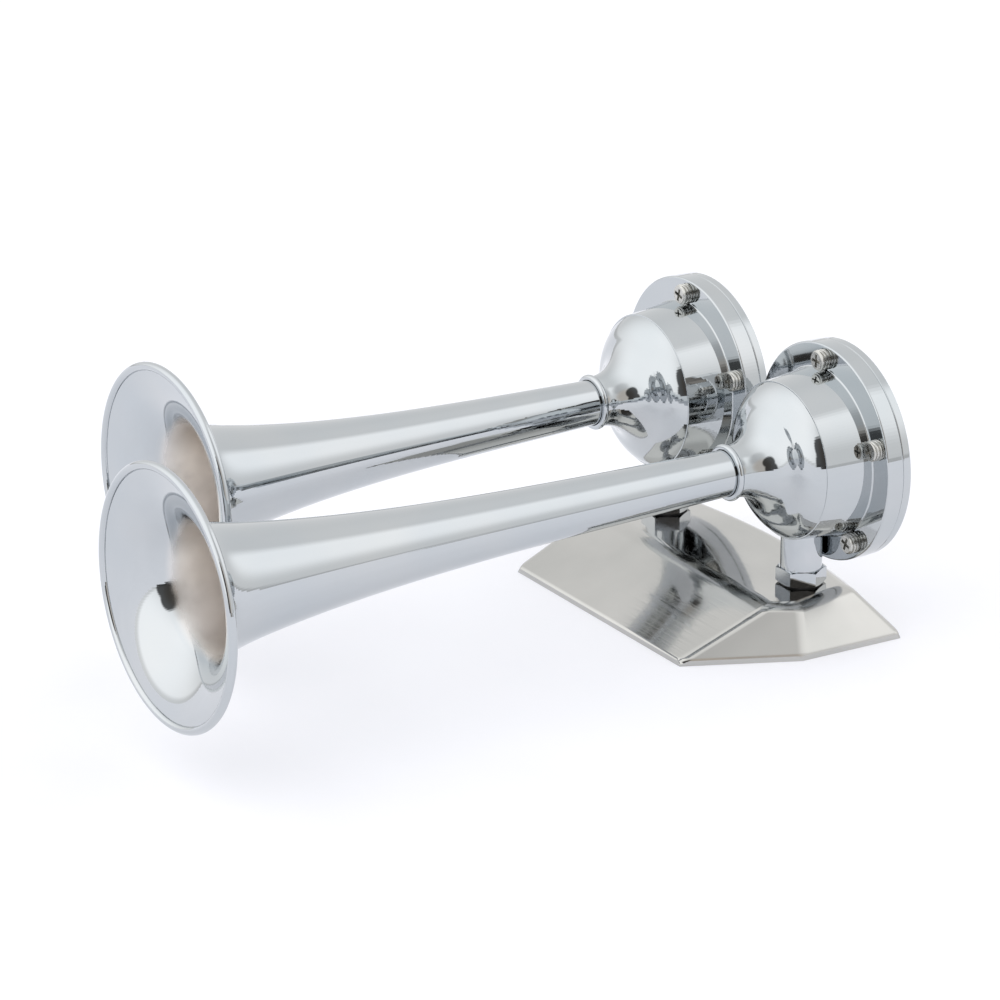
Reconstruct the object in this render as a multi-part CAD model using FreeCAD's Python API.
import FreeCAD, Part
import math
import os

# A twin air horn: a long and a short trumpet side by side, each screwed to a round
# diaphragm housing that stands on a hollow stem, both stems clamped to one pressed base.
# Millimetres. +Z is up, the trumpets face -Y, the long horn is on the +X side.
# The origin is on the surface under the base, at the middle of the whole part's footprint.
# Along a horn, "ahead" means towards its mouth and is measured from the flange's front face.

# Placing of the two horns
HORN_SPACING = 83.0         # between the two stem axes
HORN_HEIGHT = 61.8          # horn axis above the surface under the base
STEM_AHEAD = 7.8            # stem axis ahead of the flange's front face

# Trumpets
LONG_REACH = 252.5          # mouth of the long trumpet ahead of the flange
SHORT_REACH = 208.0         # mouth of the short trumpet ahead of the flange
TUBE_R = 7.9                # outside of the tube where it enters the neck
MOUTH_R = 42.9              # outside of the flare where the rim is rolled
TRUMPET_WALL = 1.0
RIM_BEAD_R = 1.5            # round section of the rolled rim
FLARE_TAPER = 0.145         # share of the widening that is an even taper
FLARE_SWELL = 0.32          # share that is the long swell
SWELL_POWER = 3.8
TURN_POWER = 40.0           # the rest turns out sharply at the mouth
FLARE_STATIONS = 16
STATION_BIAS = 0.8          # under 1 sets more of the stations towards the mouth

# Neck ring, a rounded band pressed on the tube against the housing's neck
RING_WIDTH = 2.2
RING_R = 9.8
RING_SLIP = 0.3             # between the ring and the tube

# Housing casting
NECK_R = 8.9
NECK_AHEAD = 38.3           # open end of the neck
SHOULDER_R = 27.4
SHOULDER_AHEAD = 17.3
SHOULDER_ROUND = 0.8        # length of the small bevel behind the shoulder
SHOULDER_LEAN = 0.24        # its rise
OGEE_STEEP = 70.0           # steepest slope of the front, in degrees from the axis
OGEE_END = 35.0             # slope where the front meets the shoulder
BARREL_ROOT_R = 29.3        # barrel where it meets the flange
ROOT_FILLET = 0.8
SCREW_BESIDE_BARREL = 0.2   # between a screw and the barrel
FLANGE_BESIDE_SCREW = 1.3   # left of the flange outside a screw
FLANGE_THICK = 6.5
FLANGE_EDGE = 0.5
TUBE_SOCKET = 14.0          # how deep the tube sits in the neck
THROAT_R = 6.9
NOZZLE_R = 10.2             # outside of the throat's inner end
BARREL_WALL = 6.8           # at the flange, thinner towards the shoulder
CHAMBER_AHEAD = 14.0        # front wall of the air chamber
STEM_SOCKET_FLOOR = 2.1     # left of the barrel's wall under the stem's socket
AIR_PORT_R = 3.6            # from the socket into the chamber

# Diaphragm stack, clamped in a recess behind the flange
STACK_BESIDE_HOLE = 1.2     # left of the flange between the recess and a screw hole
GASKET_THICK = 0.8
GASKET_BESIDE_CHAMBER = 0.5
DIAPHRAGM_THICK = 0.5

# Rear cover
COVER_STEP = 0.2            # cover's rim inside the flange's
COVER_THICK = 3.1
COVER_ROUND = 0.5
COVER_POCKET = 1.2          # room for the diaphragm to move
COVER_CROWN_R = 21.0
COVER_CROWN = 1.4
VENT_R = 1.2
VENT_CIRCLE_R = 12.0
VENT_COUNT = 3

# Cover screws: evenly spaced from the top, with small heads sunk flush in the cover
SCREW_COUNT = 5
SCREW_R = 3.6
SCREW_PROUD = 3.6           # thread standing out of the flange's front face
SCREW_CHAMFER = 0.6
SCREW_HEAD_LEDGE = 0.4      # head beyond the thread all round, and as deep
CROSS_LENGTH = 4.6
CROSS_WIDTH = 1.1
CROSS_DEPTH = 1.2

# Stems
STEM_R = 7.2
HEX_ACROSS = 15.2           # flats of the hexagon turned on the stem
HEX_HEIGHT = 5.4
HEX_CHAMFER = 0.5
STEM_THREAD_R = 6.7         # lower end, through the base
INLET_R = 4.2               # lower bore of the stem, for the air pipe's fitting
INLET_DEPTH = 14.0
STEM_AIR_R = 3.0            # narrower bore above it
STEM_FOOT = 1.6             # end of the stem above the surface

# Clamping parts at the base
SEAL_THICK = 0.5
SEAL_STEP = 0.2             # seal's rim inside the hexagon's flats
WASHER_R = 11.5
WASHER_THICK = 1.2
NUT_ACROSS = 19.0
NUT_THICK = 5.0

# Base pressed from sheet, seen from above; the -X side mirrors the +X side
BASE_HEIGHT = 15.8          # top face of the plateau
BASE_SHEET = 1.4
BASE_LIP = 2.2              # upright edge along the foot
FOOT_FRONT_OUT = 9.6        # "out" is outwards from the stem axis
FOOT_FRONT_Y = -56.2
FOOT_SIDE_OUT = 27.6
FOOT_SIDE_Y = -18.2
FOOT_REAR_OUT = 28.6
FOOT_REAR_Y = 21.8
FOOT_REAR_BOW = 6.0
TOP_FRONT_OUT = 12.2
TOP_FRONT_Y = -21.8
TOP_SIDE_OUT = 17.1
TOP_SIDE_Y = -12.8
TOP_REAR_OUT = 11.8
TOP_REAR_Y = 12.4
TOP_REAR_BOW = 6.0
CREASE_R = 3.0              # round along the plateau's edge
CORNER_R = 2.0              # round down the side creases

# Fits
SLIP = 0.05                 # a piece that slides into its seat and is held there
SCREW_SLIP = 0.1
STEM_HOLE_SLIP = 0.4
OVERCUT = 1.0               # how far a cutting tool runs past the face it opens
SAME_PLACE = 0.01           # edges this near to a height are taken as lying on it

AXIS = FreeCAD.Vector(0, 1, 0)
UP = FreeCAD.Vector(0, 0, 1)
FLANGE_Y = STEM_AHEAD
STACK_THICK = 2 * GASKET_THICK + DIAPHRAGM_THICK
SCREW_HOLE_R = SCREW_R + SCREW_SLIP
SCREW_CIRCLE_R = BARREL_ROOT_R + SCREW_BESIDE_BARREL + SCREW_R
FLANGE_R = SCREW_CIRCLE_R + SCREW_R + FLANGE_BESIDE_SCREW
COVER_R = FLANGE_R - COVER_STEP
SCREW_HEAD_R = SCREW_R + SCREW_HEAD_LEDGE
SEAL_R = HEX_ACROSS / 2 - SEAL_STEP
STACK_R = SCREW_CIRCLE_R - SCREW_HOLE_R - STACK_BESIDE_HOLE
RECESS_R = STACK_R + SLIP
CHAMBER_R = BARREL_ROOT_R - BARREL_WALL
STACK_INNER_R = CHAMBER_R + GASKET_BESIDE_CHAMBER
STEM_SOCKET_R = CHAMBER_R + STEM_SOCKET_FLOOR
SOCKET_END = NECK_AHEAD - TUBE_SOCKET
HEX_BASE = BASE_HEIGHT + SEAL_THICK
STEM_TOP = HORN_HEIGHT - STEM_SOCKET_R - SLIP
SHEET_UNDER = BASE_HEIGHT - BASE_SHEET


def at(radius, ahead):
    """A point of a horn's section: its radius, and how far ahead of the flange face."""
    return FreeCAD.Vector(radius, -ahead, 0)


def line(a, b):
    return Part.LineSegment(a, b).toShape()


def arc(a, middle, b):
    return Part.Arc(a, middle, b).toShape()


def polyline(points):
    return [line(a, b) for a, b in zip(points, points[1:])]


def spun(edges):
    """Revolves a closed section about the horn axis."""
    face = Part.Face(Part.Wire(edges))
    return face.revolve(FreeCAD.Vector(0, 0, 0), AXIS, 360)


def disc(radius, ahead_low, ahead_high):
    """A cylinder on the horn axis between two places ahead of the flange."""
    return Part.makeCylinder(radius, ahead_high - ahead_low, at(0, ahead_high), AXIS)


def ring(inner, outer, ahead_low, ahead_high):
    return disc(outer, ahead_low, ahead_high).cut(disc(inner, ahead_low - OVERCUT, ahead_high + OVERCUT))


def flare_radius(along):
    """Outside radius of a trumpet, from 0 at the neck to 1 at the mouth."""
    turn = 1.0 - FLARE_TAPER - FLARE_SWELL
    share = FLARE_TAPER * along + FLARE_SWELL * along ** SWELL_POWER + turn * along ** TURN_POWER
    return TUBE_R + (MOUTH_R - TUBE_R) * share


def flare_slope(along, length):
    """Rise of the radius for each millimetre towards the mouth."""
    turn = 1.0 - FLARE_TAPER - FLARE_SWELL
    rise = FLARE_TAPER + FLARE_SWELL * SWELL_POWER * along ** (SWELL_POWER - 1)
    rise += turn * TURN_POWER * along ** (TURN_POWER - 1)
    return (MOUTH_R - TUBE_R) * rise / length


def flare_points(reach, inwards):
    """Stations of the flare, closer together near the mouth, set in by a wall along the normal."""
    length = reach - NECK_AHEAD
    points = []
    for index in range(FLARE_STATIONS + 1):
        along = math.sin(math.pi / 2 * index / FLARE_STATIONS) ** STATION_BIAS
        slope = flare_slope(along, length)
        scale = inwards / math.hypot(1.0, slope)
        points.append(at(flare_radius(along) - scale, NECK_AHEAD + along * length + scale * slope))
    return points


def spline(points):
    curve = Part.BSplineCurve()
    curve.interpolate(points)
    return curve.toShape()


def rim_middle(reach):
    """Middle of the rolled rim's section, on the end of the flared wall."""
    return (flare_points(reach, 0.0)[-1] + flare_points(reach, TRUMPET_WALL)[-1]) * 0.5


def footprint_middle():
    """How far the part's middle lies from the stem axes, between the long mouth and the rearmost piece."""
    front = FLANGE_Y + rim_middle(LONG_REACH).y - RIM_BEAD_R
    cover_back = FLANGE_Y + FLANGE_THICK + COVER_THICK + COVER_CROWN
    base_back = FOOT_REAR_Y + FOOT_REAR_BOW
    return (front + max(cover_back, base_back)) / 2


def trumpet(reach):
    """Spun tube with a flared mouth, one wall thick, and a rolled round rim."""
    outer = flare_points(reach, 0.0)
    inner = flare_points(reach, TRUMPET_WALL)
    end = SOCKET_END + SLIP
    tube_out = at(TUBE_R, end)
    tube_in = at(TUBE_R - TRUMPET_WALL, end)
    edges = [line(tube_out, outer[0]), spline(outer), line(outer[-1], inner[-1])]
    edges += [spline(inner[::-1]), line(inner[0], tube_in), line(tube_in, tube_out)]
    middle = rim_middle(reach)
    bead = Part.makeTorus(middle.x, RIM_BEAD_R, FreeCAD.Vector(0, middle.y, 0), AXIS)
    return spun(edges).fuse(bead).removeSplitter()


def neck_ring():
    """Rounded band with a flat seat on the tube and a full round outside."""
    inner = TUBE_R + RING_SLIP
    back = NECK_AHEAD
    front = NECK_AHEAD + RING_WIDTH
    straight = RING_R - RING_WIDTH / 2
    section = polyline([at(straight, back), at(inner, back), at(inner, front), at(straight, front)])
    section.append(arc(at(straight, front), at(RING_R, (back + front) / 2), at(straight, back)))
    return spun(section)


def ogee_radii():
    """The two tangent arcs from the neck to the shoulder: first hollow, then full."""
    steep = math.radians(OGEE_STEEP)
    end = math.radians(OGEE_END)
    rise = SHOULDER_R - NECK_R
    run = NECK_AHEAD - SHOULDER_AHEAD
    a = 1 - math.cos(steep)
    b = math.cos(end) - math.cos(steep)
    c = math.sin(steep)
    d = math.sin(steep) - math.sin(end)
    split = a * d - b * c
    return (rise * d - b * run) / split, (a * run - c * rise) / split


def ogee_edges():
    """Front of the housing from the neck's open end to the shoulder."""
    hollow, full = ogee_radii()
    steep = math.radians(OGEE_STEEP)
    end = math.radians(OGEE_END)

    def on_hollow(angle):
        return at(NECK_R + hollow * (1 - math.cos(angle)), NECK_AHEAD - hollow * math.sin(angle))

    def on_full(angle):
        join = on_hollow(steep)
        radius = join.x + full * (math.cos(angle) - math.cos(steep))
        ahead = -join.y - full * (math.sin(steep) - math.sin(angle))
        return at(radius, ahead)

    first = arc(on_hollow(0), on_hollow(steep / 2), on_hollow(steep))
    second = arc(on_full(steep), on_full((steep + end) / 2), at(SHOULDER_R, SHOULDER_AHEAD))
    return [first, second]


def housing_blank():
    """Neck, ogee front, tapered barrel and flange as one turned blank."""
    outline = ogee_edges()
    corner = at(SHOULDER_R + SHOULDER_LEAN, SHOULDER_AHEAD - SHOULDER_ROUND)
    outline.append(line(at(SHOULDER_R, SHOULDER_AHEAD), corner))
    root = at(BARREL_ROOT_R, ROOT_FILLET)
    foot = at(BARREL_ROOT_R + ROOT_FILLET, 0)
    bend = ROOT_FILLET * (1 - math.sqrt(0.5))
    outline.append(line(corner, root))
    outline.append(arc(root, at(BARREL_ROOT_R + bend, bend), foot))
    rim = [foot, at(FLANGE_R - FLANGE_EDGE, 0), at(FLANGE_R, -FLANGE_EDGE)]
    rim += [at(FLANGE_R, -FLANGE_THICK), at(0, -FLANGE_THICK), at(0, NECK_AHEAD), at(NECK_R, NECK_AHEAD)]
    return spun(outline + polyline(rim))


def screw_angles():
    return [90.0 + 360.0 / SCREW_COUNT * index for index in range(SCREW_COUNT)]


def around(shape, angle):
    """Turns a shape made on the +X side about the horn axis, counted towards +Z."""
    turned = shape.copy()
    turned.rotate(FreeCAD.Vector(0, 0, 0), AXIS, -angle)
    return turned


def screw_holes(ahead_low, ahead_high):
    hole = disc(SCREW_HOLE_R, ahead_low, ahead_high)
    hole.translate(FreeCAD.Vector(SCREW_CIRCLE_R, 0, 0))
    return [around(hole, angle) for angle in screw_angles()]


def housing():
    """Casting with the tube socket, throat, air chamber, diaphragm recess and stem socket."""
    floor = STACK_THICK - FLANGE_THICK
    nozzle_end = floor - GASKET_THICK
    tools = [disc(TUBE_R + SLIP, SOCKET_END, NECK_AHEAD + OVERCUT)]
    tools.append(disc(THROAT_R, -FLANGE_THICK - OVERCUT, SOCKET_END + OVERCUT))
    tools.append(ring(NOZZLE_R, CHAMBER_R, floor, CHAMBER_AHEAD))
    tools.append(ring(NOZZLE_R, RECESS_R, -FLANGE_THICK - OVERCUT, floor))
    tools.append(disc(RECESS_R, -FLANGE_THICK - OVERCUT, nozzle_end))
    tools += screw_holes(-FLANGE_THICK - OVERCUT, OVERCUT)
    tools += stem_socket()
    return housing_blank().cut(tools).removeSplitter()


def stem_socket():
    """Round seat for the stem in the underside of the barrel, and its way into the chamber."""
    down = FreeCAD.Vector(0, 0, -1)
    seat = FreeCAD.Vector(0, -STEM_AHEAD, -STEM_SOCKET_R)
    socket = Part.makeCylinder(STEM_R + SLIP, SHOULDER_R, seat, down)
    chamber = FreeCAD.Vector(0, -STEM_AHEAD, -(NOZZLE_R + CHAMBER_R) / 2)
    port = Part.makeCylinder(AIR_PORT_R, SHOULDER_R, chamber, down)
    return [socket, port]


def gasket(ahead_high):
    return ring(STACK_INNER_R, STACK_R, ahead_high - GASKET_THICK, ahead_high)


def diaphragm(ahead_high):
    return disc(STACK_R, ahead_high - DIAPHRAGM_THICK, ahead_high)


def rear_cover():
    """Flat cap with a rounded rear edge, a low crown and three small vents."""
    front = -FLANGE_THICK
    back = front - COVER_THICK
    bend = COVER_ROUND * (1 - math.sqrt(0.5))
    rim = [at(STACK_INNER_R, front), at(COVER_R, front), at(COVER_R, back + COVER_ROUND)]
    edges = polyline(rim)
    edge_round = at(COVER_R - bend, back + bend)
    edges.append(arc(rim[-1], edge_round, at(COVER_R - COVER_ROUND, back)))
    crown = [at(COVER_R - COVER_ROUND, back), at(COVER_CROWN_R + COVER_CROWN, back)]
    crown += [at(COVER_CROWN_R, back - COVER_CROWN), at(0, back - COVER_CROWN)]
    crown += [at(0, front - COVER_POCKET), at(STACK_INNER_R, front - COVER_POCKET), rim[0]]
    blank = spun(edges + polyline(crown))
    vent = disc(VENT_R, back - COVER_CROWN - OVERCUT, front)
    vent.translate(FreeCAD.Vector(VENT_CIRCLE_R, 0, 0))
    vents = [around(vent, 90 + 360 / VENT_COUNT * index) for index in range(VENT_COUNT)]
    wide = SCREW_HOLE_R + SCREW_HEAD_LEDGE
    sink = Part.makeCone(SCREW_HOLE_R, wide, SCREW_HEAD_LEDGE, at(0, back + SCREW_HEAD_LEDGE), AXIS)
    sink.translate(FreeCAD.Vector(SCREW_CIRCLE_R, 0, 0))
    sinks = [around(sink, angle) for angle in screw_angles()]
    return blank.cut(screw_holes(back - OVERCUT, front + OVERCUT) + sinks + vents)


def cross_recess(ahead, into):
    """Two crossed slots, sunk from one end face of a screw."""
    depth = CROSS_DEPTH * into
    slots = []
    for length, width in ((CROSS_LENGTH, CROSS_WIDTH), (CROSS_WIDTH, CROSS_LENGTH)):
        low = min(ahead, ahead + depth)
        corner = FreeCAD.Vector(-length / 2, -low - CROSS_DEPTH, -width / 2)
        slots.append(Part.makeBox(length, CROSS_DEPTH, width, corner))
    return slots


def cover_screws():
    """Five small-headed countersunk screws put in from behind, their thread ends standing out in front."""
    tip = SCREW_PROUD
    top = -FLANGE_THICK - COVER_THICK
    section = [at(0, tip), at(SCREW_R - SCREW_CHAMFER, tip), at(SCREW_R, tip - SCREW_CHAMFER)]
    section += [at(SCREW_R, top + SCREW_HEAD_LEDGE), at(SCREW_HEAD_R, top), at(0, top), at(0, tip)]
    screw = spun(polyline(section))
    screw = screw.cut(cross_recess(tip, -1) + cross_recess(top, 1))
    screw.translate(FreeCAD.Vector(SCREW_CIRCLE_R, 0, 0))
    return Part.makeCompound([around(screw, angle) for angle in screw_angles()])


def upright(radius, low, high):
    """A cylinder on a stem axis between two heights above the surface."""
    return Part.makeCylinder(radius, high - low, FreeCAD.Vector(0, 0, low), UP)


def hexagon(across, low, high):
    """A hexagonal bar with a corner towards +X."""
    corner_r = across / math.sqrt(3)
    points = []
    for index in range(7):
        angle = math.radians(60 * index)
        points.append(FreeCAD.Vector(corner_r * math.cos(angle), corner_r * math.sin(angle), low))
    return Part.Face(Part.makePolygon(points)).extrude(UP * (high - low))


def chamfered_hexagon(across, low, high):
    """A hexagonal bar whose corners are turned off at a slope at both ends."""
    corner_r = across / math.sqrt(3)
    flat_r = across / 2
    inset = HEX_CHAMFER
    section = [(0, low), (flat_r, low), (corner_r + SLIP, low + inset)]
    section += [(corner_r + SLIP, high - inset), (flat_r, high), (0, high), (0, low)]
    points = [FreeCAD.Vector(radius, 0, height) for radius, height in section]
    face = Part.Face(Part.makePolygon(points))
    return hexagon(across, low, high).common(face.revolve(FreeCAD.Vector(0, 0, 0), UP, 360))


def stem():
    """Hollow post: round above, a hexagon over the base, a threaded end below, bored in two steps."""
    post = upright(STEM_R, HEX_BASE + HEX_HEIGHT - OVERCUT, STEM_TOP)
    collar = chamfered_hexagon(HEX_ACROSS, HEX_BASE, HEX_BASE + HEX_HEIGHT)
    thread = upright(STEM_THREAD_R, STEM_FOOT, HEX_BASE + OVERCUT)
    inlet = upright(INLET_R, STEM_FOOT - OVERCUT, STEM_FOOT + INLET_DEPTH)
    air = upright(STEM_AIR_R, STEM_FOOT, STEM_TOP + OVERCUT)
    return post.fuse([collar, thread]).cut([inlet, air]).removeSplitter()


def washer(outer, low, thick):
    hole = upright(STEM_THREAD_R + SLIP, low - OVERCUT, low + thick + OVERCUT)
    return upright(outer, low, low + thick).cut(hole)


def lock_nut():
    top = SHEET_UNDER - WASHER_THICK
    blank = chamfered_hexagon(NUT_ACROSS, top - NUT_THICK, top)
    return blank.cut(upright(STEM_THREAD_R + SLIP, top - NUT_THICK - OVERCUT, top + OVERCUT))


def outline_wire(front, side, rear, bow, height):
    """Six-sided outline with a bowed rear edge, from points out from the stem axis, mirrored in X."""
    stem_x = HORN_SPACING / 2
    half = [FreeCAD.Vector(stem_x + out, y, height) for out, y in (front, side, rear)]
    other = [FreeCAD.Vector(-point.x, point.y, height) for point in half]
    middle = FreeCAD.Vector(0, rear[1] + bow, height)
    edges = polyline([other[0]] + half)
    edges.append(arc(half[2], middle, other[2]))
    edges += polyline([other[2], other[1], other[0]])
    return Part.Wire(edges)


def foot_outline(height):
    front = (FOOT_FRONT_OUT, FOOT_FRONT_Y)
    side = (FOOT_SIDE_OUT, FOOT_SIDE_Y)
    return outline_wire(front, side, (FOOT_REAR_OUT, FOOT_REAR_Y), FOOT_REAR_BOW, height)


def top_outline(height):
    front = (TOP_FRONT_OUT, TOP_FRONT_Y)
    side = (TOP_SIDE_OUT, TOP_SIDE_Y)
    return outline_wire(front, side, (TOP_REAR_OUT, TOP_REAR_Y), TOP_REAR_BOW, height)


def base_blank():
    """The pressing as a closed form: upright lip, then sloping facets up to the plateau."""
    slopes = Part.makeLoft([foot_outline(BASE_LIP), top_outline(BASE_HEIGHT)], True, True)
    lip = Part.Face(foot_outline(0)).extrude(UP * BASE_LIP)
    return lip.fuse(slopes).removeSplitter()


def base_hollow():
    """The space under the sheet, one sheet lower and set in from the foot."""
    foot = foot_outline(BASE_LIP - BASE_SHEET).makeOffset2D(-BASE_SHEET)
    top = top_outline(SHEET_UNDER).makeOffset2D(-BASE_SHEET / 2)
    slopes = Part.makeLoft([foot, top], True, True)
    below = Part.Face(foot).extrude(UP * -BASE_HEIGHT)
    return slopes.fuse(below)


def plateau_edges(shape):
    return [edge for edge in shape.Edges if edge.BoundBox.ZMin > BASE_HEIGHT - SAME_PLACE]


def side_creases(shape):
    """Edges that climb from the lip to the plateau."""
    creases = []
    for edge in shape.Edges:
        box = edge.BoundBox
        if box.ZMin < BASE_LIP + SAME_PLACE and box.ZMax > BASE_HEIGHT - SAME_PLACE:
            creases.append(edge)
    return creases


def base_shell():
    """Pressed sheet base, open underneath, with a hole for each stem."""
    blank = base_blank()
    blank = blank.makeFillet(CORNER_R, side_creases(blank))
    blank = blank.makeFillet(CREASE_R, plateau_edges(blank))
    shell = blank.cut(base_hollow())
    holes = []
    for side in (-1, 1):
        hole = upright(STEM_THREAD_R + STEM_HOLE_SLIP, 0, BASE_HEIGHT + OVERCUT)
        hole.translate(FreeCAD.Vector(side * HORN_SPACING / 2, 0, 0))
        holes.append(hole)
    return shell.cut(holes)


def horn_pieces(reach):
    """Pieces on the horn axis, made with the flange's front face at the origin."""
    recess_floor = STACK_THICK - FLANGE_THICK
    middle = recess_floor - GASKET_THICK
    return {
        "trumpet": trumpet(reach),
        "neck_ring": neck_ring(),
        "housing": housing(),
        "front_gasket": gasket(recess_floor),
        "diaphragm": diaphragm(middle),
        "rear_gasket": gasket(middle - DIAPHRAGM_THICK),
        "rear_cover": rear_cover(),
        "cover_screws": cover_screws(),
    }


def stem_pieces():
    """Pieces on a stem axis, made with their heights in place."""
    under = SHEET_UNDER - WASHER_THICK
    return {
        "stem": stem(),
        "stem_seal": washer(SEAL_R, BASE_HEIGHT, SEAL_THICK),
        "clamp_washer": washer(WASHER_R, under, WASHER_THICK),
        "lock_nut": lock_nut(),
    }


def write(name, shape, x, y, z):
    """Places a piece in the part's frame and saves it."""
    shape.translate(FreeCAD.Vector(x, y, z))
    shape.exportStep("parts/" + name + ".step")
    box = shape.BoundBox
    print(name, len(shape.Solids), "solid", round(shape.Volume), "mm3", "valid", shape.isValid(),
          [round(v, 2) for v in (box.XMin, box.YMin, box.ZMin, box.XMax, box.YMax, box.ZMax)])


def build():
    os.makedirs("parts", exist_ok=True)
    stem_y = -footprint_middle()
    write("base_shell", base_shell(), 0, stem_y, 0)
    for side, reach, sign in (("long", LONG_REACH, 1), ("short", SHORT_REACH, -1)):
        stem_x = sign * HORN_SPACING / 2
        for name, shape in horn_pieces(reach).items():
            write(side + "_" + name, shape, stem_x, stem_y + FLANGE_Y, HORN_HEIGHT)
        for name, shape in stem_pieces().items():
            write(side + "_" + name, shape, stem_x, stem_y, 0)


build()
